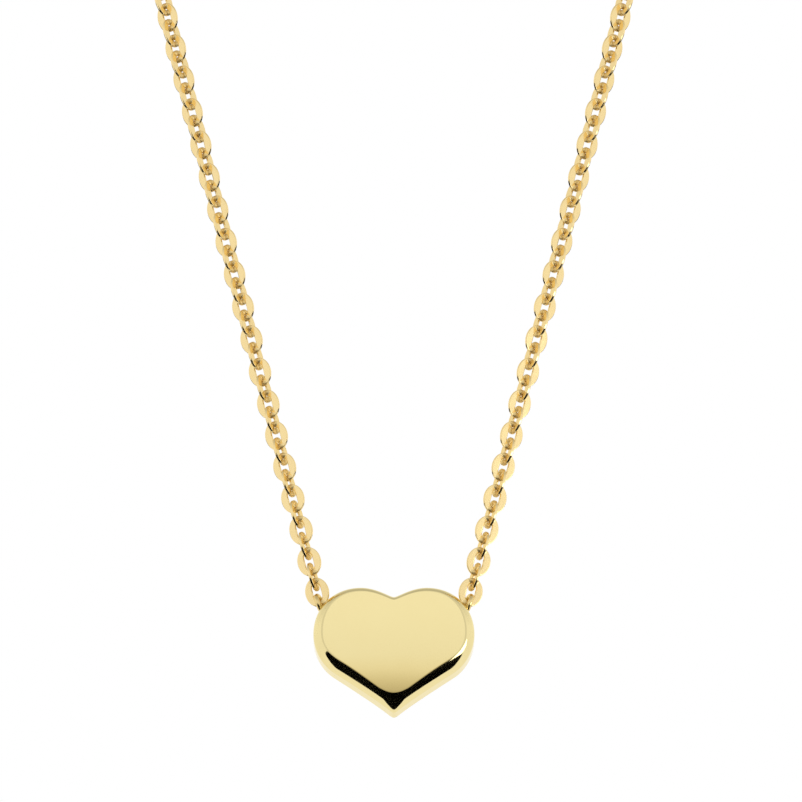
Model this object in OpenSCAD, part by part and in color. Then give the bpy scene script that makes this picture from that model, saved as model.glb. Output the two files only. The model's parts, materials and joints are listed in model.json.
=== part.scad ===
// Heart pendant necklace: a puffed heart held at both shoulders by a flat oval-link chain,
// closed at the back of the neck by a spring ring clasp. Millimetres, +Z up, the wearer's front
// faces -Y. The origin is the centre of the round neck form that the chain hangs over.

/* [Chain links] */
// Distance from one link's centre to the next, with the chain pulled straight
link_pitch = 1.05; // [1.02:0.002:1.1]
// Width across a flat link
link_width = 1.52; // [1.46:0.02:1.56]
// Width of the hole in a link
hole_width = 0.56; // [0.54:0.01:0.6]
// Radial width of the band at a link's two round ends
end_band = 0.37; // [0.34:0.01:0.38]
// Play between the bands of two links
link_slack = 0.06; // [0.055:0.005:0.08]
// Thickness of the flattened wire
link_thickness = 0.16; // [0.12:0.01:0.17]
// Diameter of the wire where it stays round, at the middle of a link's two ends
round_wire = 0.32; // [0.28:0.01:0.32]
// Length of the round part
round_length = 0.36; // [0.3:0.02:0.36]

/* [Drape] */
// Half the distance between the centres of the two end links
end_link_x = 4.76; // [4.74:0.01:4.9]
// Lean of each straight drop from the vertical, in degrees
drop_angle = 14.36; // [14.1:0.01:14.4]
// Links from the end link up to the point where the chain meets the neck
drop_links = 143; // [143:2:143]
// Links on each side of the neck, from there to the clasp
neck_links = 70; // [70:2:70]

/* [Heart] */
// Height of the heart's shoulders above the end links' centres
shoulder_rise = 0.13; // [0.05:0.005:0.2]
// Distance from the heart's middle plane to the edge of its face
face_edge_depth = 1.45; // [1.3:0.05:1.6]
// Rise of the domed face from its edge to its centre
dome_rise = 0.30; // [0.1:0.05:0.5]
// Depth of the straight side wall in front of the middle plane
wall_front_depth = 0.60; // [0.55:0.05:0.7]
// Depth of the side wall behind the middle plane, as far as the back plate
wall_back_depth = 1.05; // [0.8:0.05:1.2]
// Thickness of the back plate
back_plate_thickness = 0.35; // [0.3:0.05:0.5]
// Width of the shell's wall, as a share of the width of its rolled rim
wall_share = 0.55; // [0.4:0.05:0.7]
// Thickness of the sheet at the middle of the face
sheet_thickness = 0.35; // [0.25:0.05:0.45]
// Inset of the back plate's edge from the side wall, as a share of the width of the rim
seam_share = 0.12; // [0.06:0.02:0.2]

/* [Heart eyes] */
// Radius of the eye loop, to the middle of its wire
eye_radius = 0.50; // [0.48:0.01:0.52]
// Radius of the eye loop's wire
eye_wire = 0.17; // [0.15:0.01:0.18]
// Lean of the eye loop towards the heart, in degrees
eye_lean = 22; // [18:1:26]
// Turn of the eye loop with the end link that hangs on it, in degrees
eye_turn = 18; // [10:1:20]

/* [Clasp] */
// Radius of the spring ring, to the middle of its tube
ring_radius = 2.20; // [2.2:0.05:2.3]
// Outer radius of the tube
tube_radius = 0.55; // [0.5:0.01:0.55]
// Radius of the tube's bore
bore_radius = 0.34; // [0.32:0.01:0.36]
// Radius of the sliding bolt
bolt_radius = 0.29; // [0.27:0.01:0.29]
// Angle that the trigger slides through to open the ring, in degrees
trigger_travel = 58; // [40:1:58]
// Radius of the ring at the other end of the chain, to the middle of its wire
end_ring_radius = 1.35; // [1.2:0.05:1.5]

/* [Hidden] */

GOLD = [0.93, 0.80, 0.47];
DEEP_GOLD = [0.86, 0.70, 0.36];
STEEL = [0.70, 0.70, 0.72];
SMOOTH = 48;

// The first link of each stretch of chain, counted up from the end link, which is link 0.
// Each stretch below the neck hangs by an even link from the odd link above, whose band lies
// across the chain's plane and is what it turns on
PENDANT_FIRST = 1;
LOW_FIRST = 49;
MIDDLE_FIRST = 81;
HIGH_FIRST = 113;
LAST_LINK = drop_links + neck_links;

// Pulled straight, two links' bands would touch at a pitch of one hole length, and the slack
// is what a flat band needs to turn there
hole_radius = hole_width / 2;
hole_length = link_pitch + link_slack;
link_length = hole_length + 2 * end_band;
band_reach = (link_length - end_band) / 2;
seat_reach = hole_length / 2 - hole_radius;

// The neck form's radius follows from the length and the lean of the drops
neck_radius = (end_link_x + drop_links * link_pitch * sin(drop_angle)) / cos(drop_angle);
neck_step = 2 * asin(link_pitch / (2 * neck_radius));
end_link_z = -neck_radius * sin(drop_angle) - drop_links * link_pitch * cos(drop_angle);

// Twist of the chain about its own line, in degrees, up from the end link
TWIST_AT = [[0, 18], [5, 24], [22, 36], [37, 40], [48, 90], [400, 90]];
// Rise of a link above its even place along the drop, as the chain takes its slack up unevenly
SLACK_AT = [
    [0, 0], [2, -0.10], [6, -0.18], [13, -0.30], [22, -0.14], [28, -0.02], [32, 0.08], [37, 0], [400, 0]
];

// The heart's outline and its face's edge, on the right of its middle line, as curves from
// the notch to the tip: each row is a curve's four control points, [across, up]
OUTLINE = [
    [[0, -0.60], [0.25, -0.60], [1.05, 0], [2.06, 0]],
    [[2.06, 0], [3.765, 0], [5, -1.22], [5, -2.92]],
    [[5, -2.92], [5, -3.90], [4.51, -4.85], [3.71, -5.37]],
    [[3.71, -5.37], [2.87, -5.92], [1.17, -7.02], [0.32, -7.70]],
    [[0.32, -7.70], [0.20, -7.80], [0.08, -7.87], [0, -7.87]]
];
FACE_EDGE = [
    [[0, -0.90], [0.25, -0.90], [1.05, -0.33], [2.04, -0.33]],
    [[2.04, -0.33], [3.50, -0.33], [4.53, -1.30], [4.53, -2.90]],
    [[4.53, -2.90], [4.53, -3.80], [4.10, -4.30], [3.30, -4.85]],
    [[3.30, -4.85], [2.30, -5.50], [1.60, -6.05], [0.95, -6.52]],
    [[0.95, -6.52], [0.60, -6.73], [0.30, -6.85], [0, -6.85]]
];
CURVE_STEPS = [6, 9, 8, 8, 4];
FACE_CENTRE = [0, -3.3];
// How the rim rolls from the side wall (0) over to the face's edge (1): [depth share, inset share]
ROLL = [[0, 0], [0.25, 0.04], [0.5, 0.14], [0.72, 0.32], [0.88, 0.6], [1, 1]];
// Size of each ring of the domed face, as a share of the face's edge
DOME = [0.8, 0.55, 0.28];

// The inside of the shell, from its open back to the middle of the face: the wall's depth as a
// share of the roll, then how far the inside falls short of its deepest and at what size
INNER_WALL_SHARES = [[0.3, wall_share], [0.5, 0.9]];
INNER_DOME = [[0.15, 0.8], [0.04, 0.4]];

heart_top = end_link_z + shoulder_rise;

// The eye loop is centred in the end link's lower band
eye_x = end_link_x - band_reach * sin(drop_angle);
eye_z = end_link_z - band_reach * cos(drop_angle);

// Clasp, laid out along a line at the back of the neck, from the left chain to the right
wire_gap = 0.01;
EYE_SINK = 0.04;
jump_wire = 0.20;
clasp_eye_radius = 0.64;
clasp_eye_wire = 0.22;
end_ring_wire = 0.25;
eye_offset = ring_radius + tube_radius + clasp_eye_radius - EYE_SINK;
last_lean = -drop_angle + neck_links * neck_step;
last_seat_x = neck_radius * cos(last_lean) - seat_reach * sin(last_lean);
last_seat_z = neck_radius * sin(last_lean) + seat_reach * cos(last_lean);
seat_span = 2 * last_seat_x;
jump_to_clasp = -(jump_wire + clasp_eye_wire + wire_gap) + clasp_eye_radius + eye_offset;
clasp_to_end = ring_radius - tube_radius - end_ring_wire - wire_gap;
jump_radius = (seat_span - jump_to_clasp - clasp_to_end) / 2 - end_ring_radius;
clasp_x = -last_seat_x + 2 * jump_radius + jump_to_clasp;
// Angles round the spring ring, anticlockwise from the right as seen from the front
GAP_START = 25;
GAP_END = 75;
BOLT_NOSE = 15;
BOLT_TAIL = 128;
TRIGGER_AT = 96;
SLOT_MARGIN = 6;
SEAT_AT = 270;
SEAT_LENGTH = 8;
slot_width = 0.34;
SPRING_TURNS = 15;
SPRING_STEPS = 10;
SPRING_SIDES = 5;
spring_radius = 0.24;
spring_wire = 0.045;

// ---- Chain ----

// A value read off a table of [at, value] rows, in straight lines between them
function read_off(table, at, i = 0) =
    at <= table[i + 1][0] || i >= len(table) - 2
        ? table[i][1] + (table[i + 1][1] - table[i][1])
            * (at - table[i][0]) / (table[i + 1][0] - table[i][0])
        : read_off(table, at, i + 1);

// One flat link, standing along Z with its faces to the front and back, and round where the
// next links bear on it
module link() {
    straight = link_length - link_width;
    rotate([90, 0, 0])
        linear_extrude(link_thickness, center = true)
            difference() {
                union() {
                    square([link_width, straight], center = true);
                    for (up = [-1, 1])
                        translate([0, up * straight / 2]) circle(d = link_width, $fn = SMOOTH);
                }
                square([hole_width, 2 * seat_reach], center = true);
                for (up = [-1, 1])
                    translate([0, up * seat_reach]) circle(r = hole_radius, $fn = SMOOTH);
            }
    for (up = [-1, 1])
        translate([0, 0, up * band_reach])
            rotate([0, 90, 0]) cylinder(d = round_wire, h = round_length, center = true, $fn = SMOOTH);
}

// Turns what it holds to a link's place on the left-hand chain: up the straight drop, then
// over the neck
module at_link(k) {
    over = max(0, k - drop_links);
    lean = -drop_angle + over * neck_step;
    below = max(0, drop_links - k) * link_pitch - read_off(SLACK_AT, k);
    translate([
        -neck_radius * cos(lean) + below * sin(drop_angle),
        0,
        neck_radius * sin(lean) - below * cos(drop_angle)
    ])
        rotate([0, lean, 0])
            rotate([0, 0, -read_off(TWIST_AT, k) + 90 * (k % 2)])
                children();
}

module chain(first, last) {
    for (k = [first:last]) at_link(k) link();
}

module on_the_right() {
    mirror([1, 0, 0]) children();
}

module left_end_link() { color(GOLD) chain(0, 0); }
module left_chain_pendant() { color(GOLD) chain(PENDANT_FIRST, LOW_FIRST - 1); }
module left_chain_low() { color(GOLD) chain(LOW_FIRST, MIDDLE_FIRST - 1); }
module left_chain_middle() { color(GOLD) chain(MIDDLE_FIRST, HIGH_FIRST - 1); }
module left_chain_high() { color(GOLD) chain(HIGH_FIRST, drop_links - 1); }
module left_chain_neck() { color(GOLD) chain(drop_links, LAST_LINK); }
module right_end_link() { on_the_right() left_end_link(); }
module right_chain_pendant() { on_the_right() left_chain_pendant(); }
module right_chain_low() { on_the_right() left_chain_low(); }
module right_chain_middle() { on_the_right() left_chain_middle(); }
module right_chain_high() { on_the_right() left_chain_high(); }
module right_chain_neck() { on_the_right() left_chain_neck(); }

// ---- Heart ----

function bezier(c, t) =
    pow(1 - t, 3) * c[0] + 3 * t * pow(1 - t, 2) * c[1] + 3 * t * t * (1 - t) * c[2] + pow(t, 3) * c[3];

// The points of a whole heart curve, from the notch round by the right
function right_half(curves) = [
    for (i = [0:len(curves) - 1]) for (j = [0:CURVE_STEPS[i] - 1]) bezier(curves[i], j / CURVE_STEPS[i])
];
function heart_curve(curves) =
    let (half = right_half(curves), tip = curves[len(curves) - 1][3])
        concat(half, [tip], [for (i = [len(half) - 1:-1:1]) [-half[i][0], half[i][1]]]);

OUTER = heart_curve(OUTLINE);
EDGE = heart_curve(FACE_EDGE);

// A ring of points at a depth behind the middle plane, part of the way from the outline (0)
// to the face's edge (1), then shrunk about the face's centre
function ring(depth, inset, size = 1) = [
    for (i = [0:len(OUTER) - 1])
        let (p = (1 - inset) * OUTER[i] + inset * EDGE[i], q = FACE_CENTRE + size * (p - FACE_CENTRE))
            [q[0], depth, q[1]]
];
function dome_depth(size) = -(face_edge_depth + dome_rise * (1 - size * size));
function roll_depth(share) = -(wall_front_depth + share * (face_edge_depth - wall_front_depth));

// A closed solid through rings of equal length, with a point at each end
module loft(start, rings, end) {
    n = len(rings[0]);
    last = len(rings) - 1;
    points = concat([start], [for (r = rings) each r], [end]);
    polyhedron(
        points,
        concat(
            [for (i = [0:n - 1]) [0, 1 + (i + 1) % n, 1 + i]],
            [for (r = [0:last - 1]) for (i = [0:n - 1]) [1 + r * n + i, 1 + r * n + (i + 1) % n, 1 + (r + 1) * n + i]],
            [
                for (r = [0:last - 1]) for (i = [0:n - 1])
                    [1 + r * n + (i + 1) % n, 1 + (r + 1) * n + (i + 1) % n, 1 + (r + 1) * n + i]
            ],
            [for (i = [0:n - 1]) [len(points) - 1, 1 + last * n + i, 1 + last * n + (i + 1) % n]]
        )
    );
}

// The pressed front of the heart: face, rolled rim and side wall, open at the back
module heart_front_shell() {
    outer = concat(
        [for (i = [len(DOME) - 1:-1:0]) ring(dome_depth(DOME[i]), 1, DOME[i])],
        [for (i = [len(ROLL) - 1:-1:0]) ring(roll_depth(ROLL[i][0]), ROLL[i][1])],
        [ring(wall_back_depth, 0)]
    );
    inner_depth = dome_depth(0) + sheet_thickness;
    inner = concat(
        [ring(wall_back_depth, wall_share)],
        [for (w = INNER_WALL_SHARES) ring(roll_depth(w[0]), w[1])],
        [for (d = INNER_DOME) ring(inner_depth + d[0], 1, d[1])]
    );
    color(GOLD)
        translate([0, 0, heart_top])
            loft(
                [FACE_CENTRE[0], dome_depth(0), FACE_CENTRE[1]],
                concat(outer, inner),
                [FACE_CENTRE[0], inner_depth, FACE_CENTRE[1]]
            );
}

// The flat plate soldered across the back, a hair smaller than the shell so that its seam shows
module heart_back_plate() {
    color(GOLD)
        translate([0, wall_back_depth + back_plate_thickness, heart_top])
            rotate([90, 0, 0])
                linear_extrude(back_plate_thickness)
                    polygon([for (i = [0:len(OUTER) - 1]) OUTER[i] + seam_share * (EDGE[i] - OUTER[i])]);
}

module wire_ring(radius, wire) {
    rotate_extrude($fn = SMOOTH) translate([radius, 0]) circle(r = wire, $fn = SMOOTH);
}

// A round wire loop soldered to the heart's side wall
module eye() {
    color(DEEP_GOLD)
        difference() {
            translate([-eye_x, 0, eye_z])
                rotate([0, 90 - eye_lean, 0])
                    rotate([eye_turn, 0, 0]) wire_ring(eye_radius, eye_wire);
            translate([0, 0, heart_top])
                rotate([90, 0, 0])
                    linear_extrude(2 * face_edge_depth, center = true) polygon(OUTER);
        }
}
module heart_left_eye() { eye(); }
module heart_right_eye() { on_the_right() eye(); }

// ---- Clasp ----

// Stretch of the spring ring: its flat shape, given at the ring's radius, swept from one
// angle to another
module round_the_ring(from, to) {
    translate([clasp_x, 0, last_seat_z])
        rotate([90, 0, 0])
            rotate([0, 0, from])
                rotate_extrude(angle = to - from, $fn = SMOOTH)
                    translate([ring_radius, 0]) children();
}

// Turns what it holds to a place on the spring ring, with +X pointing outwards
module at_ring_angle(angle) {
    translate([clasp_x, 0, last_seat_z])
        rotate([0, -angle, 0])
            translate([ring_radius, 0, 0]) children();
}

module clasp_tube() {
    color(GOLD)
        difference() {
            round_the_ring(GAP_END, 360 + GAP_START)
                difference() {
                    circle(r = tube_radius, $fn = SMOOTH);
                    circle(r = bore_radius, $fn = SMOOTH);
                }
            round_the_ring(TRIGGER_AT - SLOT_MARGIN, TRIGGER_AT + trigger_travel + SLOT_MARGIN)
                translate([bore_radius / 2, -slot_width / 2]) square([tube_radius, slot_width]);
        }
}

module clasp_bolt() {
    color(DEEP_GOLD) round_the_ring(BOLT_NOSE, BOLT_TAIL) circle(r = bolt_radius, $fn = SMOOTH);
}

// The thumb knob, on a stem pressed into the bolt
module clasp_trigger() {
    stem_radius = 0.13;
    stem_start = 0.12;
    stem_length = 0.75;
    knob_radius = 0.32;
    knob_at = stem_start + stem_length + 0.08;
    color(GOLD)
        at_ring_angle(TRIGGER_AT)
            union() {
                translate([stem_start, 0, 0])
                    rotate([0, 90, 0]) cylinder(r = stem_radius, h = stem_length, $fn = SMOOTH);
                translate([knob_at, 0, 0]) sphere(r = knob_radius, $fn = SMOOTH);
            }
}

// The coil spring behind the bolt, inside the tube
module clasp_spring() {
    from = BOLT_TAIL + 2;
    to = SEAT_AT - 2;
    count = SPRING_TURNS * SPRING_STEPS;
    // A point on the wire: step along the coil, side round the wire
    function coil_point(step, side) =
        let (
            along = from + (to - from) * step / count,
            turn = 360 * step / SPRING_STEPS,
            about = 360 * side / SPRING_SIDES,
            out = ring_radius + (spring_radius + spring_wire * cos(about)) * cos(turn),
            tip = along + spring_wire * sin(about) / ring_radius * 180 / PI
        )
            [out * cos(tip), (spring_radius + spring_wire * cos(about)) * sin(turn), out * sin(tip)];
    points = [for (step = [0:count]) for (side = [0:SPRING_SIDES - 1]) coil_point(step, side)];
    far_end = count * SPRING_SIDES;
    color(STEEL)
        translate([clasp_x, 0, last_seat_z])
            polyhedron(
                points,
                concat(
                    [[for (side = [0:SPRING_SIDES - 1]) side]],
                    [
                        for (step = [0:count - 1]) for (side = [0:SPRING_SIDES - 1])
                            let (a = step * SPRING_SIDES, s = (side + 1) % SPRING_SIDES)
                                [a + s, a + side, a + SPRING_SIDES + side]
                    ],
                    [
                        for (step = [0:count - 1]) for (side = [0:SPRING_SIDES - 1])
                            let (a = step * SPRING_SIDES, s = (side + 1) % SPRING_SIDES)
                                [a + s, a + SPRING_SIDES + side, a + SPRING_SIDES + s]
                    ],
                    [[for (side = [SPRING_SIDES - 1:-1:0]) far_end + side]]
                )
            );
}

// The plug in the bore that the spring pushes against
module clasp_spring_seat() {
    color(DEEP_GOLD)
        round_the_ring(SEAT_AT, SEAT_AT + SEAT_LENGTH) circle(r = bore_radius, $fn = SMOOTH);
}

// The loop soldered to the outside of the spring ring
module clasp_eye() {
    color(GOLD)
        difference() {
            translate([clasp_x - eye_offset, 0, last_seat_z])
                rotate([90, 0, 0]) wire_ring(clasp_eye_radius, clasp_eye_wire);
            round_the_ring(120, 240) circle(r = tube_radius, $fn = SMOOTH);
        }
}

module clasp_jump_ring() {
    color(GOLD)
        translate([-last_seat_x + jump_radius, 0, last_seat_z]) wire_ring(jump_radius, jump_wire);
}

// The ring at the chain's other end, which the clasp closes round
module end_ring() {
    color(GOLD)
        translate([last_seat_x - end_ring_radius, 0, last_seat_z])
            wire_ring(end_ring_radius, end_ring_wire);
}

heart_front_shell();
heart_back_plate();
heart_left_eye();
heart_right_eye();
left_end_link();
left_chain_pendant();
left_chain_low();
left_chain_middle();
left_chain_high();
left_chain_neck();
right_end_link();
right_chain_pendant();
right_chain_low();
right_chain_middle();
right_chain_high();
right_chain_neck();
clasp_jump_ring();
clasp_eye();
clasp_tube();
clasp_bolt();
clasp_trigger();
clasp_spring();
clasp_spring_seat();
end_ring();
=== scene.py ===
"""Looks of the heart pendant necklace: a polished gold heart on a flat oval-link chain."""
import json
import math

import bpy
import numpy as np
from mathutils import Matrix, Vector


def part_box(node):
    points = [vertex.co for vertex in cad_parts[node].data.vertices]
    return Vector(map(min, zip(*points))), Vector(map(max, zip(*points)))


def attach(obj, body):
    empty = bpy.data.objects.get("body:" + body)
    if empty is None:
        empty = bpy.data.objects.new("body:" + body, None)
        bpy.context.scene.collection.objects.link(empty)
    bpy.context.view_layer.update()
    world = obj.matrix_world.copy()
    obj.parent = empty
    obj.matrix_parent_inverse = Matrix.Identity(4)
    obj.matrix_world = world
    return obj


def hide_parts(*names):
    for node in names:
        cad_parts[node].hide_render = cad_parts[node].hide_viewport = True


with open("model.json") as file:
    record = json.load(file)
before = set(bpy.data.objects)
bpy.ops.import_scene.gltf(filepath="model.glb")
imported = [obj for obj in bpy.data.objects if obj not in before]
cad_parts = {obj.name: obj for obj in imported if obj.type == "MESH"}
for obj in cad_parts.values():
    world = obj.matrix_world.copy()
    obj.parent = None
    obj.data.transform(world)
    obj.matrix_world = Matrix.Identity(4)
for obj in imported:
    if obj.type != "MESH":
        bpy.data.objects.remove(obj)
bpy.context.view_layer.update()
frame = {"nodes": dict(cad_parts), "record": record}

MM = 0.001

# ---------------------------------------------------------------- driving sizes, in millimetres
LINK_PITCH = 1.050
LINK_WIDTH = 1.52
HOLE_WIDTH = 0.56
END_BAND = 0.37
LINK_SLACK = 0.06
LINK_THICKNESS = 0.16
END_LINK_X = 4.76
DROP_ANGLE = math.radians(14.36)
DROP_LINKS = 143
NECK_LINKS = 70
LOOSENESS = 1.2            # degrees that links lean at random in their neighbours
# How far each link is turned (degrees), and how far it hangs off the even pitch, by its number
TWIST_AT = ((0, 18), (5, 24), (22, 36), (37, 40), (48, 90), (400, 90))
SLACK_AT = ((0, 0), (2, -0.10), (6, -0.18), (13, -0.30), (22, -0.14), (28, -0.02), (32, 0.08), (37, 0),
            (400, 0))
# The first and last link of each stretch
STRETCHES = {
    "end_link": (0, 0), "chain_pendant": (1, 48), "chain_low": (49, 80),
    "chain_middle": (81, 112), "chain_high": (113, 142), "chain_neck": (143, 213),
}

SHOULDER_RISE = 0.13
FACE_EDGE_DEPTH = 1.45
DOME_RISE = 0.30
WALL_FRONT_DEPTH = 0.60
WALL_BACK_DEPTH = 1.05
BACK_PLATE = 0.35
# Right half of the heart's outline and of its face's edge, from the notch to the tip
OUTLINE = (
    ((0, -0.60), (0.25, -0.60), (1.05, 0), (2.06, 0)),
    ((2.06, 0), (3.765, 0), (5, -1.22), (5, -2.92)),
    ((5, -2.92), (5, -3.90), (4.51, -4.85), (3.71, -5.37)),
    ((3.71, -5.37), (2.87, -5.92), (1.17, -7.02), (0.32, -7.70)),
    ((0.32, -7.70), (0.20, -7.80), (0.08, -7.87), (0, -7.87)),
)
FACE_EDGE = (
    ((0, -0.90), (0.25, -0.90), (1.05, -0.33), (2.04, -0.33)),
    ((2.04, -0.33), (3.50, -0.33), (4.53, -1.30), (4.53, -2.90)),
    ((4.53, -2.90), (4.53, -3.80), (4.10, -4.30), (3.30, -4.85)),
    ((3.30, -4.85), (2.30, -5.50), (1.60, -6.05), (0.95, -6.52)),
    ((0.95, -6.52), (0.60, -6.73), (0.30, -6.85), (0, -6.85)),
)
CURVE_STEPS = (34, 46, 36, 40, 14)
FACE_CENTRE = np.array((0.0, -3.3))
DOME_REACH = (5.2, 4.8)    # how far from its centre, across and up, the dome has come down by its rise
SHELL_LIP = 0.05           # depth over which the shell's back edge is rounded over
PLATE_ROUNDING = 0.22
SEAM_DEPTH = 0.03          # how far behind the seam's plane the back plate's own edge starts
# How far in from the outline something lies, as a share of the way to the face's edge
HIDDEN_INSET = 0.9         # where the two faces that are soldered together end
SHELL_INSET, SHELL_LIP_INSET = 0.10, 0.08
PLATE_LIP_INSET, PLATE_INSET = 0.11, 0.06
PLATE_ROUNDING_INSET = PLATE_ROUNDING / 0.5    # the way to the face's edge is about 0.5 long

EYE_RADIUS = 0.50
EYE_WIRE = 0.17
EYE_LEAN = math.radians(22)
EYE_TURN = math.radians(18)
SOLDER_REACH = 0.30        # how near the heart an eye's wire starts to swell into its solder
SOLDER_SWELL = 0.25


# ---------------------------------------------------------------- meshes
def new_object(name, points, faces, material, wear_and_shade=None):
    """A smooth mesh object from points in millimetres, with how much each point is dulled by use and darkened
    by painted shade, from 0 to 1.
    """
    mesh = bpy.data.meshes.new(name)
    mesh.from_pydata([tuple(p) for p in np.asarray(points, float) * MM], [], faces)
    if wear_and_shade is not None:
        mesh.attributes.new("wear_and_shade", "FLOAT", "POINT").data.foreach_set("value", np.asarray(wear_and_shade, np.float32))
    mesh.validate()
    mesh.polygons.foreach_set("use_smooth", [True] * len(mesh.polygons))
    mesh.materials.append(material)
    obj = bpy.data.objects.new(name, mesh)
    bpy.context.scene.collection.objects.link(obj)
    return obj


def grid_faces(rows, columns, close_rows=False):
    """Quads between rows of points. Each row is a loop, and so are the rows themselves if close_rows."""
    faces = []
    for r in range(rows if close_rows else rows - 1):
        a, b = r * columns, (r + 1) % rows * columns
        for c in range(columns):
            d = (c + 1) % columns
            faces.append((a + c, a + d, b + d, b + c))
    return faces


def end_faces(rows, columns):
    """The two flat ends of a solid made of rows of points."""
    return [tuple(range(columns - 1, -1, -1)), tuple((rows - 1) * columns + c for c in range(columns))]


WIRE_SIDES = 28


def tube(path, radius, closed=True):
    """Points and faces of a round wire along a path of points: a ring, or a rod with two flat ends."""
    path = np.asarray(path, float)
    n = len(path)
    if closed:
        ahead = np.roll(path, -1, 0) - np.roll(path, 1, 0)
    else:
        ahead = np.gradient(path, axis=0)
    ahead /= np.linalg.norm(ahead, axis=1)[:, None]
    radius = np.broadcast_to(np.asarray(radius, float), (n,))
    side = np.cross(ahead[0], (0.31, 0.87, 0.39))
    points = []
    for i in range(n):
        side = side - ahead[i] * (side @ ahead[i])
        side /= np.linalg.norm(side)
        up = np.cross(ahead[i], side)
        for s in range(WIRE_SIDES):
            a = 2 * math.pi * s / WIRE_SIDES
            points.append(path[i] + radius[i] * (math.cos(a) * side + math.sin(a) * up))
    faces = grid_faces(n, WIRE_SIDES, close_rows=closed)
    if not closed:
        faces += end_faces(n, WIRE_SIDES)
    return points, faces


def stands_for(obj, node, body):
    """Ties a piece to its body and hides the CAD node that it stands for."""
    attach(obj, body)
    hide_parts(node)
    return obj


# ---------------------------------------------------------------- chain
hole_radius = HOLE_WIDTH / 2
hole_length = LINK_PITCH + LINK_SLACK
link_length = hole_length + 2 * END_BAND
seat_reach = hole_length / 2 - hole_radius
band_reach = (link_length - END_BAND) / 2
neck_radius = (END_LINK_X + DROP_LINKS * LINK_PITCH * math.sin(DROP_ANGLE)) / math.cos(DROP_ANGLE)
neck_step = 2 * math.asin(LINK_PITCH / (2 * neck_radius))
end_link_z = -neck_radius * math.sin(DROP_ANGLE) - DROP_LINKS * LINK_PITCH * math.cos(DROP_ANGLE)
heart_top = end_link_z + SHOULDER_RISE

# A link's section, from the hole (0) to the outside (1): how much of its half thickness is left
LINK_SECTION = (
    (0.0, 0.0), (0.004, 0.55), (0.03, 0.85), (0.08, 0.99), (0.16, 1.0), (0.28, 1.0), (0.40, 1.0), (0.52, 1.0),
    (0.64, 1.0), (0.76, 1.0), (0.87, 1.0), (0.935, 0.99), (0.968, 0.95), (0.989, 0.85), (0.998, 0.68),
    (1.0, 0.34), (1.0, 0.0),
)
LINK_TURNS = 56
ROUND_HALF = 0.16          # half thickness at the middle of a link's ends, where the wire stays round
ROUND_FROM = 0.80          # how far up a link's end the roundness starts
ROUND_FADE = 0.17          # and over how much more it grows to the full
WEAR_AND_SHADE_MARGIN = 0.12         # share of the section, at its hole and its outside, as dulled and as darkened by painted shade as what is next to it
WEAR_AND_SHADE_GAIN = 1.6


def round_end(share, up):
    """How far the wire's roundness stands out of the flat link: share of the way out, up its end."""
    across = math.sqrt(max(0.0, 1 - (2 * share - 1) ** 2))
    along = min(1.0, max(0.0, (abs(up) - ROUND_FROM) / ROUND_FADE))
    return ROUND_HALF * across * along * along * (3 - 2 * along)


def one_link():
    """Points, their share of use-dulled polish and painted shade, and faces of one flat link, along Z with
    its faces to the front and back.
    """
    half = LINK_THICKNESS / 2
    points, wear_and_shade = [], []
    for i in range(LINK_TURNS):
        a = 2 * math.pi * (i + 0.5) / LINK_TURNS
        end = 1 if i < LINK_TURNS / 2 else -1
        c, s = math.cos(a), math.sin(a)
        inner = np.array((hole_radius * c, end * seat_reach + hole_radius * s))
        outer = np.array((LINK_WIDTH / 2 * c, link_length / 2 * s))
        top = [(share, max(half * left, round_end(share, s))) for share, left in LINK_SECTION[1:-1]]
        section = [(0, 0)] + top + [(1, 0)] + [(share, -y) for share, y in top[::-1]]
        for share, y in section:
            p = inner + (outer - inner) * share
            points.append((p[0], y, p[1]))
            # Most on the round ends, where links bear on each other: there the polish is dulled by use, and
            # the colour is darkened as painted shade in the seats
            inside = min(max(share, WEAR_AND_SHADE_MARGIN), 1 - WEAR_AND_SHADE_MARGIN)
            wear_and_shade.append(min(1.0, WEAR_AND_SHADE_GAIN * round_end(inside, s) / ROUND_HALF))
    columns = 2 * len(LINK_SECTION) - 2
    return np.array(points), np.array(wear_and_shade), grid_faces(LINK_TURNS, columns, close_rows=True)


def link_matrix(k, side, rng):
    """Where link k stands on the left (side 1) or right (-1) chain, in millimetres."""
    over = max(0, k - DROP_LINKS)
    lean = -DROP_ANGLE + over * neck_step
    below = max(0, DROP_LINKS - k) * LINK_PITCH - np.interp(k, *zip(*SLACK_AT))
    x = -neck_radius * math.cos(lean) + below * math.sin(DROP_ANGLE)
    z = neck_radius * math.sin(lean) - below * math.cos(DROP_ANGLE)
    twist = np.interp(k, *zip(*TWIST_AT))
    loose = np.radians(rng.uniform(-LOOSENESS, LOOSENESS, 3)) * min(k, 1)
    turn = math.radians(-twist + 90 * (k % 2))
    m = (Matrix.Translation((x, 0, z)) @ Matrix.Rotation(lean, 4, "Y")
         @ Matrix.Rotation(turn + loose[2], 4, "Z") @ Matrix.Rotation(loose[0], 4, "X")
         @ Matrix.Rotation(loose[1], 4, "Y"))
    if side < 0:
        m = Matrix.Diagonal((-1, 1, 1, 1)) @ m
    return np.array(m)


LINK_POINTS, LINK_WEAR_AND_SHADE, LINK_FACES = one_link()


def chain_piece(name, node, body, first, last, side, material):
    """One stretch of chain, which stands for its CAD node."""
    rng = np.random.default_rng(1000 + first * 2 + (side < 0))
    points, faces = [], []
    for k in range(first, last + 1):
        m = link_matrix(k, side, rng)
        base = sum(len(p) for p in points)
        points.append(LINK_POINTS @ m[:3, :3].T + m[:3, 3])
        for f in LINK_FACES:
            f = f if side < 0 else f[::-1]
            faces.append(tuple(base + i for i in f))
    obj = new_object(name, np.vstack(points), faces, material, np.tile(LINK_WEAR_AND_SHADE, last - first + 1))
    return stands_for(obj, node, body)


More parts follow.
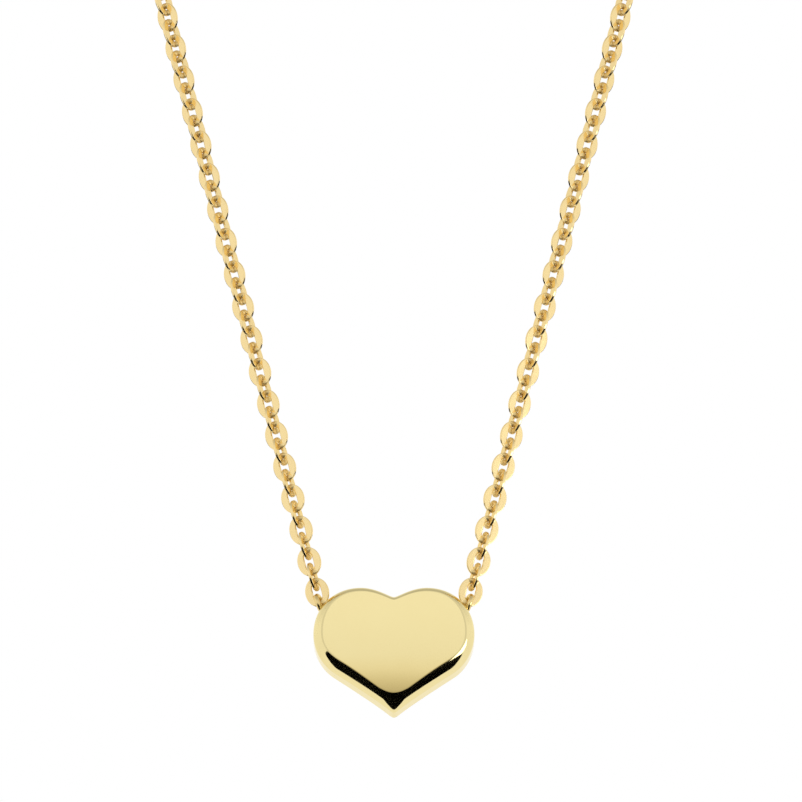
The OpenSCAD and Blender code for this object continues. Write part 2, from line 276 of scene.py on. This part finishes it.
# ---------------------------------------------------------------- heart
def bezier(c, t):
    """Points at t along a cubic curve with control points c."""
    c = np.array(c, float)
    t = np.asarray(t)[:, None]
    return (1 - t) ** 3 * c[0] + 3 * t * (1 - t) ** 2 * c[1] + 3 * t * t * (1 - t) * c[2] + t ** 3 * c[3]


def heart_curve(curves):
    """The points of a whole heart curve, from the notch round by the right."""
    half = np.vstack([bezier(c, np.arange(n) / n) for c, n in zip(curves, CURVE_STEPS)])
    tip = np.array(curves[-1][3], float)
    left = half[:0:-1] * (-1, 1)
    return np.vstack([half, tip, left])


OUTER = heart_curve(OUTLINE)
EDGE = heart_curve(FACE_EDGE)


def face_depth(p):
    """How far the gently domed face stands in front of the middle plane, at a point across it."""
    r = (p - FACE_CENTRE) / DOME_REACH
    return FACE_EDGE_DEPTH + DOME_RISE * (1 - (r ** 2).sum(-1))


RIM_START = math.radians(66)   # how far round the rim has rolled where it meets the face
FACE_ROLL = 0.03               # share of the way to the centre in which the face rolls over
FACE_ROLL_DROP = 0.012         # how far it drops there


def inset(share):
    """The outline drawn in by a share of the way to the face's edge."""
    return OUTER + (EDGE - OUTER) * share


def heart_ring(angle):
    """A ring of the rolled rim, from the side wall's front edge (0) to the face's edge."""
    depth_share = math.sin(angle) / math.sin(RIM_START)
    inset_share = (1 - math.cos(angle)) / (1 - math.cos(RIM_START))
    p = (1 - inset_share) * OUTER + inset_share * EDGE
    depth = WALL_FRONT_DEPTH + depth_share * (face_depth(EDGE) - FACE_ROLL_DROP - WALL_FRONT_DEPTH)
    return np.column_stack([p[:, 0], -depth, heart_top + p[:, 1]])


def flat_ring(p, depth):
    """A ring of points, given as (across, up), at one depth."""
    return np.column_stack([p[:, 0], np.full(len(p), depth), heart_top + p[:, 1]])


def closed_rings(rings, depth):
    """Points and faces of a solid from its rings, flat on the first and closed at its centre's depth."""
    n = len(OUTER)
    points = np.vstack([*rings, (FACE_CENTRE[0], depth, heart_top + FACE_CENTRE[1])])
    faces = grid_faces(len(rings), n)
    last = (len(rings) - 1) * n
    faces += [(last + i, last + (i + 1) % n, len(points) - 1) for i in range(n)]
    faces.append(tuple(range(n - 1, -1, -1)))
    return points, faces


def heart_front(material):
    """The front shell: its open back's edge, the side wall, the rolled rim and the domed face."""
    rings = [flat_ring(inset(HIDDEN_INSET), WALL_BACK_DEPTH), flat_ring(inset(SHELL_INSET), WALL_BACK_DEPTH)]
    for a in np.linspace(0, math.pi / 2, 5):
        rings.append(flat_ring(inset(SHELL_LIP_INSET * (1 - math.sin(a))),
                               WALL_BACK_DEPTH - SHELL_LIP * (1 - math.cos(a))))
    for share in np.linspace(0.1, 0.9, 8):
        depth = WALL_BACK_DEPTH - SHELL_LIP + share * (-WALL_FRONT_DEPTH - WALL_BACK_DEPTH + SHELL_LIP)
        rings.append(flat_ring(OUTER, depth))
    for a in np.linspace(0, RIM_START, 25):
        rings.append(heart_ring(a))
    # The face's rings, as sizes of its edge: close together where the face rolls over
    for size in [0.9965, *np.linspace(0.993, 1 - FACE_ROLL, 8), *np.linspace(0.94, 0.06, 36)]:
        p = FACE_CENTRE + size * (EDGE - FACE_CENTRE)
        drop = FACE_ROLL_DROP * max(0, 1 - (1 - size) / FACE_ROLL) ** 2
        rings.append(np.column_stack([p[:, 0], -face_depth(p) + drop, heart_top + p[:, 1]]))
    points, faces = closed_rings(rings, -face_depth(FACE_CENTRE))
    obj = new_object("heart_front", points, faces, material)
    return stands_for(obj, "heart_front_shell", "heart")


def heart_back(material):
    """The back plate, with its edge rounded and its seam a fine groove."""
    back = WALL_BACK_DEPTH + BACK_PLATE
    rings = [flat_ring(inset(HIDDEN_INSET), WALL_BACK_DEPTH),
             flat_ring(inset(PLATE_LIP_INSET), WALL_BACK_DEPTH),
             flat_ring(inset(PLATE_INSET), WALL_BACK_DEPTH + SEAM_DEPTH)]
    for a in np.linspace(0, math.pi / 2, 9):
        rings.append(flat_ring(inset(PLATE_INSET + PLATE_ROUNDING_INSET * (1 - math.cos(a))),
                               back - PLATE_ROUNDING * (1 - math.sin(a))))
    flat_edge = inset(PLATE_INSET + PLATE_ROUNDING_INSET)
    for size in np.linspace(0.95, 0.06, 20):
        rings.append(flat_ring(FACE_CENTRE + size * (flat_edge - FACE_CENTRE), back))
    points, faces = closed_rings(rings, back)
    faces = [f[::-1] for f in faces]
    obj = new_object("heart_back", points, faces, material)
    return stands_for(obj, "heart_back_plate", "heart")


# ---------------------------------------------------------------- eyes
def outline_distance(x, z):
    """How far a point is from the heart's outline."""
    return np.sqrt(((OUTER + (0, heart_top) - (x, z)) ** 2).sum(1)).min()


def wire_eye(name, node, side, material):
    """A wire loop with a fillet of solder where it runs into the heart's side wall."""
    centre = Vector((-(END_LINK_X - band_reach * math.sin(DROP_ANGLE)), 0,
                     end_link_z - band_reach * math.cos(DROP_ANGLE)))
    turn = Matrix.Rotation(math.pi / 2 - EYE_LEAN, 3, "Y") @ Matrix.Rotation(EYE_TURN, 3, "X")
    path, radius = [], []
    for a in np.linspace(0, 2 * math.pi, 96, endpoint=False):
        p = centre + turn @ Vector((EYE_RADIUS * math.cos(a), EYE_RADIUS * math.sin(a), 0))
        path.append((p.x, p.y, p.z))
        near = max(0, 1 - outline_distance(p.x, p.z) / SOLDER_REACH)
        radius.append(EYE_WIRE * (1 + SOLDER_SWELL * near ** 2))
    points, faces = tube(path, radius)
    points = np.array(points) * (side, 1, 1)
    if side < 0:
        faces = [f[::-1] for f in faces]
    obj = new_object(name, points, faces, material)
    return stands_for(obj, node, "heart")


# ---------------------------------------------------------------- clasp
RING_RADIUS = 2.20
TUBE_RADIUS = 0.55
BORE_RADIUS = 0.34
BOLT_RADIUS = 0.29
END_RING_RADIUS = 1.35
JUMP_WIRE = 0.20
END_RING_WIRE = 0.25
CLASP_EYE_RADIUS = 0.64
CLASP_EYE_WIRE = 0.22
EYE_SINK = 0.04
WIRE_GAP = 0.01
GAP_START, GAP_END = 25, 75
BOLT_NOSE, BOLT_TAIL = 15, 128
TRIGGER_AT, TRIGGER_TRAVEL, SLOT_MARGIN = 96, 58, 6
SLOT_WIDTH = 0.34
SEAT_AT, SEAT_LENGTH = 270, 8
MOUTH_LIP = 0.07           # how far the tube's two mouths are rounded over
SOLDER_SPREAD = 14         # degrees each way along a ring that its soldered joint stands out
TUBE_SIDES = 40
DEGREES_PER_MM = 360 / (2 * math.pi * RING_RADIUS)

last_lean = -DROP_ANGLE + NECK_LINKS * neck_step
last_seat_x = neck_radius * math.cos(last_lean) - seat_reach * math.sin(last_lean)
last_seat_z = neck_radius * math.sin(last_lean) + seat_reach * math.cos(last_lean)
eye_offset = RING_RADIUS + TUBE_RADIUS + CLASP_EYE_RADIUS - EYE_SINK
jump_to_clasp = CLASP_EYE_RADIUS + eye_offset - (JUMP_WIRE + CLASP_EYE_WIRE + WIRE_GAP)
clasp_to_end = RING_RADIUS - TUBE_RADIUS - END_RING_WIRE - WIRE_GAP
jump_radius = (2 * last_seat_x - jump_to_clasp - clasp_to_end) / 2 - END_RING_RADIUS
clasp_x = -last_seat_x + 2 * jump_radius + jump_to_clasp
CLASP = np.array((clasp_x, 0, last_seat_z))


def on_ring(angle, out=0.0, aside=0.0):
    """A point by the spring ring's middle line, outwards from its centre and to its back."""
    a = math.radians(angle)
    return CLASP + (RING_RADIUS + out) * np.array((math.cos(a), 0, math.sin(a))) + (0, aside, 0)


def ring_section(angle, radius, about):
    """Points round the tube at one angle of the ring, from the outside of the ring (0)."""
    return [on_ring(angle, radius * math.cos(a), radius * math.sin(a)) for a in about]


def crisp(start, end, count, edge):
    """Even steps from start to end, with one short step at each end to keep that edge sharp."""
    return np.concatenate([[start], np.linspace(start + edge, end - edge, count - 2), [end]])


def tube_angles(start, end):
    """Angles of the ring along one stretch of its tube."""
    return crisp(start, end, max(6, int((end - start) / 2.5)), 0.1)


def slotted_stretch(start, end):
    """Points and faces of a stretch of the spring ring's tube with a slot along its outside."""
    angles = tube_angles(start, end)
    lips = [math.asin(SLOT_WIDTH / 2 / radius) for radius in (TUBE_RADIUS, BORE_RADIUS)]
    outer, inner = [crisp(lip, 2 * math.pi - lip, TUBE_SIDES, 0.02) for lip in lips]
    points = []
    for a in angles:
        points += ring_section(a, TUBE_RADIUS, outer) + ring_section(a, BORE_RADIUS, inner)[::-1]
    return points, grid_faces(len(angles), 2 * TUBE_SIDES)


def whole_stretch(start, end, mouth_first):
    """Points and faces of a whole stretch of the tube, with a rounded mouth at its start or its end."""
    angles = tube_angles(start, end)
    mouth, inwards = (start, 1) if mouth_first else (end, -1)
    lip = [(mouth + inwards * DEGREES_PER_MM * MOUTH_LIP * (1 - math.sin(t)),
            TUBE_RADIUS - MOUTH_LIP * (1 - math.cos(t))) for t in np.radians((75, 60, 45, 30, 15, 0))]
    past_lip = [(a, TUBE_RADIUS) for a in angles if (a - mouth) * inwards > DEGREES_PER_MM * MOUTH_LIP]
    outside = lip + past_lip if mouth_first else past_lip + lip[::-1]
    stations = outside + [(a, BORE_RADIUS) for a in angles[::-1]]
    about = np.linspace(0, 2 * math.pi, TUBE_SIDES, endpoint=False)
    points = [p for a, r in stations for p in ring_section(a, r, about)]
    return points, grid_faces(len(stations), TUBE_SIDES, close_rows=True)


def joined(parts):
    """Several sets of points and faces as one."""
    points, faces = [], []
    for p, f in parts:
        base = len(points)
        points += [tuple(q) for q in p]
        faces += [tuple(base + i for i in face) for face in f]
    return points, faces


def clasp_tube(material):
    """The spring ring's tube, with a gap for the bolt to close and a slot for the thumb knob's stem."""
    slot_start, slot_end = TRIGGER_AT - SLOT_MARGIN, TRIGGER_AT + TRIGGER_TRAVEL + SLOT_MARGIN
    points, faces = joined([whole_stretch(GAP_END, slot_start, True),
                            slotted_stretch(slot_start, slot_end),
                            whole_stretch(slot_end, 360 + GAP_START, False)])
    return stands_for(new_object("clasp_body", points, faces, material), "clasp_tube", "clasp")


def rod_on_ring(start, end, radius, rounding):
    """Points and faces of a round rod along the ring, with its two ends rounded over."""
    turns = np.radians(np.linspace(90, 0, 8))
    angles = [start + DEGREES_PER_MM * rounding * (1 - math.sin(t)) for t in turns]
    radii = [radius - 0.98 * rounding * (1 - math.cos(t)) for t in turns]
    middle = np.linspace(angles[-1], end - (angles[-1] - start), int((end - start) / 2))[1:-1]
    all_angles = [*angles, *middle, *(end - (a - start) for a in angles[::-1])]
    all_radii = radii + [radius] * len(middle) + radii[::-1]
    return tube([on_ring(a) for a in all_angles], all_radii, closed=False)


def turned(axis_start, axis_end, profile):
    """Points and faces of a lathe-turned solid: rows of (distance along the axis, radius)."""
    path = [axis_start + (axis_end - axis_start) * at for at, _ in profile]
    ahead = (axis_end - axis_start) / np.linalg.norm(axis_end - axis_start)
    side = np.cross(ahead, (0, 1, 0))
    up = np.cross(ahead, side)
    sides = 32
    points = []
    for p, (_, r) in zip(path, profile):
        for s in range(sides):
            a = 2 * math.pi * s / sides
            points.append(p + r * (math.cos(a) * side + math.sin(a) * up))
    return points, grid_faces(len(profile), sides) + end_faces(len(profile), sides)


def clasp_trigger(material):
    """The thumb knob on its stem, with a small shoulder under the knob."""
    knob_at, knob_radius, stem_radius = 0.95, 0.32, 0.13
    profile = [(0.12, stem_radius), (0.40, stem_radius), (0.62, stem_radius), (0.66, stem_radius + 0.02)]
    for t in np.linspace(148, 4, 22):
        a = math.radians(t)
        profile.append((knob_at + knob_radius * math.cos(a), knob_radius * math.sin(a)))
    start, end = on_ring(TRIGGER_AT), on_ring(TRIGGER_AT, 1.0)
    points, faces = turned(start, end, profile)
    return stands_for(new_object("clasp_knob", points, faces, material),
                      "clasp_trigger", "clasp_bolt")


def outside_bore(points):
    """The same points, with those that would stand in the tube's bore moved out into its wall."""
    p = np.array(points) - CLASP
    across = np.hypot(p[:, 0], p[:, 2])
    ring = p * (1, 0, 1) / across[:, None] * RING_RADIUS
    away = p - ring
    distance = np.linalg.norm(away, axis=1)
    wall = (BORE_RADIUS + TUBE_RADIUS) / 2
    return ring + away * (np.maximum(distance, wall) / distance)[:, None] + CLASP


def loop(centre, radius, wire, flat, swell_at, swell):
    """Points and faces of a wire ring, flat in the chain's plane or across it, thicker at its solder."""
    path, radii = [], []
    for a in np.linspace(0, 2 * math.pi, 120, endpoint=False):
        c, s = radius * math.cos(a), radius * math.sin(a)
        path.append(np.array(centre) + ((c, 0, s) if flat else (c, s, 0)))
        far = abs((math.degrees(a) - swell_at + 180) % 360 - 180)
        radii.append(wire * (1 + swell * max(0, 1 - far / SOLDER_SPREAD) ** 2))
    return tube(path, radii)


# ---------------------------------------------------------------- materials
WORN_DULLNESS = 0.32       # roughness that full wear adds
POLISH_FROM, POLISH_TO = 0.3, 0.7      # the cloud's values at which the polish is best and worst
SCRATCH_FINENESS = 40      # how many times finer the scratches are than the cloud
SCRATCH_STRETCH = (1, 1, 0.08)
SCRATCH_LEAN = (0.3, 0.5, 0.2)
SCRATCH_DEPTH = 0.00001


def node_material(name, base, deep, edge, roughness, scale, scratch, painted_seat_shade):
    """Polished gold: faint changes of colour and polish, fine scratches, and, where links bear, a duller
    polish and a darker colour painted as shade.
    """
    m = bpy.data.materials.new(name)
    m.use_nodes = True
    nodes, links = m.node_tree.nodes, m.node_tree.links
    shader = nodes["Principled BSDF"]
    shader.inputs["Metallic"].default_value = 1.0
    shader.inputs["Specular Tint"].default_value = (*edge, 1)
    place = nodes.new("ShaderNodeTexCoord")
    cloud = nodes.new("ShaderNodeTexNoise")
    cloud.inputs["Scale"].default_value = scale
    cloud.inputs["Detail"].default_value = 3
    links.new(place.outputs["Object"], cloud.inputs["Vector"])
    tint = nodes.new("ShaderNodeMix")
    tint.data_type = "RGBA"
    tint.inputs["A"].default_value = (*base, 1)
    tint.inputs["B"].default_value = (*deep, 1)
    links.new(cloud.outputs["Fac"], tint.inputs["Factor"])
    wear_and_shade_node = nodes.new("ShaderNodeAttribute")
    wear_and_shade_node.attribute_name = "wear_and_shade"
    # The colour is darkened towards the last colour given, as painted shade in the seats where links bear on
    # each other
    darken = nodes.new("ShaderNodeMix")
    darken.data_type = "RGBA"
    darken.inputs["B"].default_value = (*painted_seat_shade, 1)
    links.new(wear_and_shade_node.outputs["Fac"], darken.inputs["Factor"])
    links.new(tint.outputs["Result"], darken.inputs["A"])
    links.new(darken.outputs["Result"], shader.inputs["Base Color"])
    polish = nodes.new("ShaderNodeMapRange")
    polish.inputs["From Min"].default_value = POLISH_FROM
    polish.inputs["From Max"].default_value = POLISH_TO
    polish.inputs["To Min"].default_value = roughness[0]
    polish.inputs["To Max"].default_value = roughness[1]
    links.new(cloud.outputs["Fac"], polish.inputs["Value"])
    dull = nodes.new("ShaderNodeMath")
    dull.operation = "MULTIPLY_ADD"
    dull.inputs[1].default_value = WORN_DULLNESS
    links.new(wear_and_shade_node.outputs["Fac"], dull.inputs[0])
    links.new(polish.outputs["Result"], dull.inputs[2])
    links.new(dull.outputs["Value"], shader.inputs["Roughness"])
    stretch = nodes.new("ShaderNodeMapping")
    stretch.inputs["Scale"].default_value = SCRATCH_STRETCH
    stretch.inputs["Rotation"].default_value = SCRATCH_LEAN
    links.new(place.outputs["Object"], stretch.inputs["Vector"])
    hair = nodes.new("ShaderNodeTexNoise")
    hair.inputs["Scale"].default_value = scale * SCRATCH_FINENESS
    hair.inputs["Detail"].default_value = 2
    links.new(stretch.outputs["Vector"], hair.inputs["Vector"])
    bump = nodes.new("ShaderNodeBump")
    bump.inputs["Strength"].default_value = scratch
    bump.inputs["Distance"].default_value = SCRATCH_DEPTH
    links.new(hair.outputs["Fac"], bump.inputs["Height"])
    links.new(bump.outputs["Normal"], shader.inputs["Normal"])
    return m


# The last colour of each finish is the painted shade for the seats where links bear on each other
pendant_gold = node_material("pendant_gold", (0.88, 0.755, 0.39), (0.86, 0.725, 0.36), (1.0, 0.96, 0.80),
                             (0.05, 0.09), 400, 0.05, (0.80, 0.62, 0.28))
chain_gold = node_material("chain_gold", (0.95, 0.755, 0.385), (0.91, 0.70, 0.34), (0.97, 0.84, 0.55),
                           (0.13, 0.19), 900, 0.1, (0.84, 0.64, 0.29))
wire_gold = node_material("wire_gold", (0.86, 0.68, 0.32), (0.82, 0.62, 0.27), (0.97, 0.86, 0.60),
                          (0.17, 0.24), 900, 0.1, (0.84, 0.64, 0.29))
clasp_gold = node_material("clasp_gold", (0.90, 0.75, 0.39), (0.87, 0.71, 0.35), (0.96, 0.88, 0.62),
                           (0.08, 0.14), 600, 0.1, (0.80, 0.62, 0.28))
spring_steel = node_material("spring_steel", (0.62, 0.62, 0.64), (0.50, 0.50, 0.53), (0.9, 0.9, 0.9),
                             (0.2, 0.3), 900, 0.1, (0.4, 0.4, 0.42))


# ---------------------------------------------------------------- pieces
for side, word in ((1, "left"), (-1, "right")):
    for stretch, (first, last) in STRETCHES.items():
        node = f"{word}_{stretch}"
        body = "neck_chain" if stretch == "chain_neck" else node
        chain_piece(f"{node}_links", node, body, first, last, side, chain_gold)

heart_front(pendant_gold)
heart_back(pendant_gold)
wire_eye("left_eye_wire", "heart_left_eye", 1, wire_gold)
wire_eye("right_eye_wire", "heart_right_eye", -1, wire_gold)
clasp_tube(clasp_gold)
stands_for(new_object("clasp_slide", *rod_on_ring(BOLT_NOSE, BOLT_TAIL, BOLT_RADIUS, 0.10), clasp_gold),
           "clasp_bolt", "clasp_bolt")
clasp_trigger(clasp_gold)
stands_for(new_object("clasp_plug", *rod_on_ring(SEAT_AT, SEAT_AT + SEAT_LENGTH, BORE_RADIUS, 0.03),
                      clasp_gold), "clasp_spring_seat", "clasp")
eye_points, eye_faces = loop(CLASP - (eye_offset, 0, 0), CLASP_EYE_RADIUS, CLASP_EYE_WIRE, True, 0, 0.30)
stands_for(new_object("clasp_loop", outside_bore(eye_points), eye_faces, clasp_gold),
           "clasp_eye", "clasp")
jump_centre = (-last_seat_x + jump_radius, 0, last_seat_z)
stands_for(new_object("jump_ring", *loop(jump_centre, jump_radius, JUMP_WIRE, False, 100, 0.03), clasp_gold),
           "clasp_jump_ring", "neck_chain")
tail_centre = (last_seat_x - END_RING_RADIUS, 0, last_seat_z)
stands_for(new_object("tail_ring", *loop(tail_centre, END_RING_RADIUS, END_RING_WIRE, False, 80, 0.03),
                      clasp_gold), "end_ring", "neck_chain")

# The CAD nodes wear the same finishes; the clasp's spring is the one that no piece replaces
finishes = {"pendant_gold": pendant_gold, "chain_gold": chain_gold, "wire_gold": wire_gold,
            "clasp_gold": clasp_gold, "spring_steel": spring_steel}
for name, obj in frame["nodes"].items():
    slot_name = next(s["material_slot"] for s in frame["record"]["subparts"] if s["node"] == name)
    for s in obj.material_slots:
        s.material = finishes[slot_name]


# ---------------------------------------------------------------- studio
def card(name, corners, strength, from_above=False):
    """A flat studio card that only shows in reflections: black at 0, or a lamp."""
    mesh = bpy.data.meshes.new(name)
    mesh.from_pydata([tuple(c) for c in corners], [], [tuple(range(len(corners)))])
    obj = bpy.data.objects.new(name, mesh)
    m = bpy.data.materials.new(name)
    m.use_nodes = True
    nodes, links = m.node_tree.nodes, m.node_tree.links
    nodes.remove(nodes["Principled BSDF"])
    glow = nodes.new("ShaderNodeEmission")
    glow.inputs["Color"].default_value = (1, 1, 1, 1)
    glow.inputs["Strength"].default_value = strength
    shown = glow.outputs["Emission"]
    if from_above:
        facing = nodes.new("ShaderNodeNewGeometry")
        clear = nodes.new("ShaderNodeBsdfTransparent")
        sided = nodes.new("ShaderNodeMixShader")
        links.new(facing.outputs["Backfacing"], sided.inputs["Fac"])
        links.new(shown, sided.inputs[1])
        links.new(clear.outputs["BSDF"], sided.inputs[2])
        shown = sided.outputs["Shader"]
    links.new(shown, nodes["Material Output"].inputs["Surface"])
    mesh.materials.append(m)
    obj.visible_camera = False
    obj.visible_shadow = False
    bpy.context.scene.collection.objects.link(obj)
    return obj


heart_lo, heart_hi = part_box("heart_front_shell")
heart_middle = (heart_lo + heart_hi) / 2


def toward(azimuth, elevation, distance):
    """A place seen from the heart: azimuth from the front towards the right, in degrees."""
    az, el = math.radians(azimuth), math.radians(elevation)
    level = Vector((math.sin(az), -math.cos(az), 0)) * math.cos(el)
    return heart_middle + distance * (level + Vector((0, 0, math.sin(el))))


# The black card under the front of the heart: its edge as (across, towards the back), on the right
BLACK_EDGE = ((0, 0.012), (0.030, 0.016), (0.050, 0.009), (0.068, -0.003), (0.085, -0.014), (0.120, -0.030),
              (0.140, -0.055), (0.165, -0.190), (0.210, -0.250), (0.210, -0.300))
BLACK_HEIGHT = -0.060      # from the heart's middle
# The lamp that makes the white streak, and a dim panel on each side, as (azimuth, elevation)
STREAK_EDGE = ((35, -25), (46, -28), (66, -22), (74, -10), (66, 2), (56, 2), (47, -3), (33, -4))
PANEL_EDGE = ((15, -4), (33, -4), (33, 38), (15, 38))
STREAK_DISTANCE, STREAK_STRENGTH = 0.15, 3
PANEL_DISTANCE, PANEL_STRENGTH = 0.25, 0.80
black_edge = list(BLACK_EDGE) + [(-x, y) for x, y in BLACK_EDGE[:0:-1]]
card("black_card", [heart_middle + Vector((x, y, BLACK_HEIGHT)) for x, y in black_edge], 0)
card("streak_card", [toward(azimuth, elevation, STREAK_DISTANCE) for azimuth, elevation in STREAK_EDGE],
     STREAK_STRENGTH)
for side, word in ((-1, "left"), (1, "right")):
    corners = [toward(side * azimuth, elevation, PANEL_DISTANCE) for azimuth, elevation in PANEL_EDGE]
    card(f"{word}_panel", corners, PANEL_STRENGTH)
# Black louvres beside the chain, which the cut edges of its links see from above
LOUVRE_HEIGHTS = (0.0045, 0.022, 0.042, 0.062, 0.082)
LOUVRE_EDGE = ((0.02, 0), (0.24, -0.03), (0.24, 0.22), (0.06, 0.22))
for number, height in enumerate(LOUVRE_HEIGHTS):
    for side, word in ((-1, "left"), (1, "right")):
        corners = [heart_middle + Vector((side * x, y, height)) for x, y in LOUVRE_EDGE[::side]]
        card(f"{word}_louvre_{number}", corners, 0, from_above=True)


def world_ramp(nodes, links, value, stops):
    """A ramp of greys or colours over a direction's height, which goes from -1 to 1."""
    shift = nodes.new("ShaderNodeMapRange")
    shift.inputs["From Min"].default_value = -1
    links.new(value, shift.inputs["Value"])
    ramp = nodes.new("ShaderNodeValToRGB")
    while len(ramp.color_ramp.elements) < len(stops):
        ramp.color_ramp.elements.new(0.5)
    for element, (height, shade) in zip(ramp.color_ramp.elements, stops):
        element.position = (height + 1) / 2
        element.color = (*np.broadcast_to(shade, 3), 1)
    links.new(shift.outputs["Result"], ramp.inputs["Fac"])
    return ramp.outputs["Color"]


# What the studio shows in reflections, from straight down (-1) to straight up (1): in front, and elsewhere
FRONT_SHADES = (
    (-1, 0.8), (-0.5, 0.35), (-0.2, (0.30, 0.27, 0.20)), (0.0, (0.53, 0.48, 0.37)),
    (0.045, (0.73, 0.68, 0.56)), (0.09, (0.93, 0.90, 0.83)), (0.14, 0.98), (0.35, 1.05),
    (0.6, 1.0), (0.8, 0.62), (1, 0.55),
)
REAR_SHADES = (
    (-1, 0.97), (-0.5, 1.0), (-0.2, 0.96), (0, 0.98), (0.3, 1.0), (0.6, 0.85), (0.8, 0.62), (1, 0.55),
)
FRONT_ENDS, REAR_STARTS = -0.96, -0.80     # a direction's Y, between which one fades into the other

world = bpy.data.worlds.new("studio")
bpy.context.scene.world = world
world.use_nodes = True
nodes, links = world.node_tree.nodes, world.node_tree.links
seen = nodes["Background"]
seen.inputs["Color"].default_value = (1, 1, 1, 1)
seen.inputs["Strength"].default_value = 1.0
lit = nodes.new("ShaderNodeBackground")
place = nodes.new("ShaderNodeTexCoord")
split = nodes.new("ShaderNodeSeparateXYZ")
links.new(place.outputs["Generated"], split.inputs["Vector"])
front = world_ramp(nodes, links, split.outputs["Z"], FRONT_SHADES)
rear = world_ramp(nodes, links, split.outputs["Z"], REAR_SHADES)
turn = nodes.new("ShaderNodeMapRange")
turn.inputs["From Min"].default_value = FRONT_ENDS
turn.inputs["From Max"].default_value = REAR_STARTS
links.new(split.outputs["Y"], turn.inputs["Value"])
blend = nodes.new("ShaderNodeMix")
blend.data_type = "RGBA"
links.new(turn.outputs["Result"], blend.inputs["Factor"])
links.new(front, blend.inputs["A"])
links.new(rear, blend.inputs["B"])
links.new(blend.outputs["Result"], lit.inputs["Color"])
path = nodes.new("ShaderNodeLightPath")
mix = nodes.new("ShaderNodeMixShader")
links.new(path.outputs["Is Camera Ray"], mix.inputs["Fac"])
links.new(lit.outputs["Background"], mix.inputs[1])
links.new(seen.outputs["Background"], mix.inputs[2])
links.new(mix.outputs["Shader"], nodes["World Output"].inputs["Surface"])

bpy.context.scene.view_settings.view_transform = "Standard"

# ---------------------------------------------------------------- camera
FIELD = 0.0499             # width of the picture at the heart
DISTANCE = 1.2
ELEVATION = math.radians(-12)
SENSOR = 36
TARGET_ACROSS, TARGET_ABOVE = 0.00044, 0.01595      # from the heart's middle
target = Vector((TARGET_ACROSS, 0, heart_middle.z + TARGET_ABOVE))
camera_data = bpy.data.cameras.new("camera")
camera_data.sensor_width = SENSOR
camera_data.lens = SENSOR * DISTANCE / FIELD
camera_data.clip_start = 0.01
camera_data.clip_end = 20
camera = bpy.data.objects.new("camera", camera_data)
bpy.context.scene.collection.objects.link(camera)
back = Vector((0, -math.cos(ELEVATION), math.sin(ELEVATION)))
camera.location = target + back * DISTANCE
camera.rotation_mode = "QUATERNION"
camera.rotation_quaternion = (-back).to_track_quat("-Z", "Y")
bpy.context.scene.camera = camera
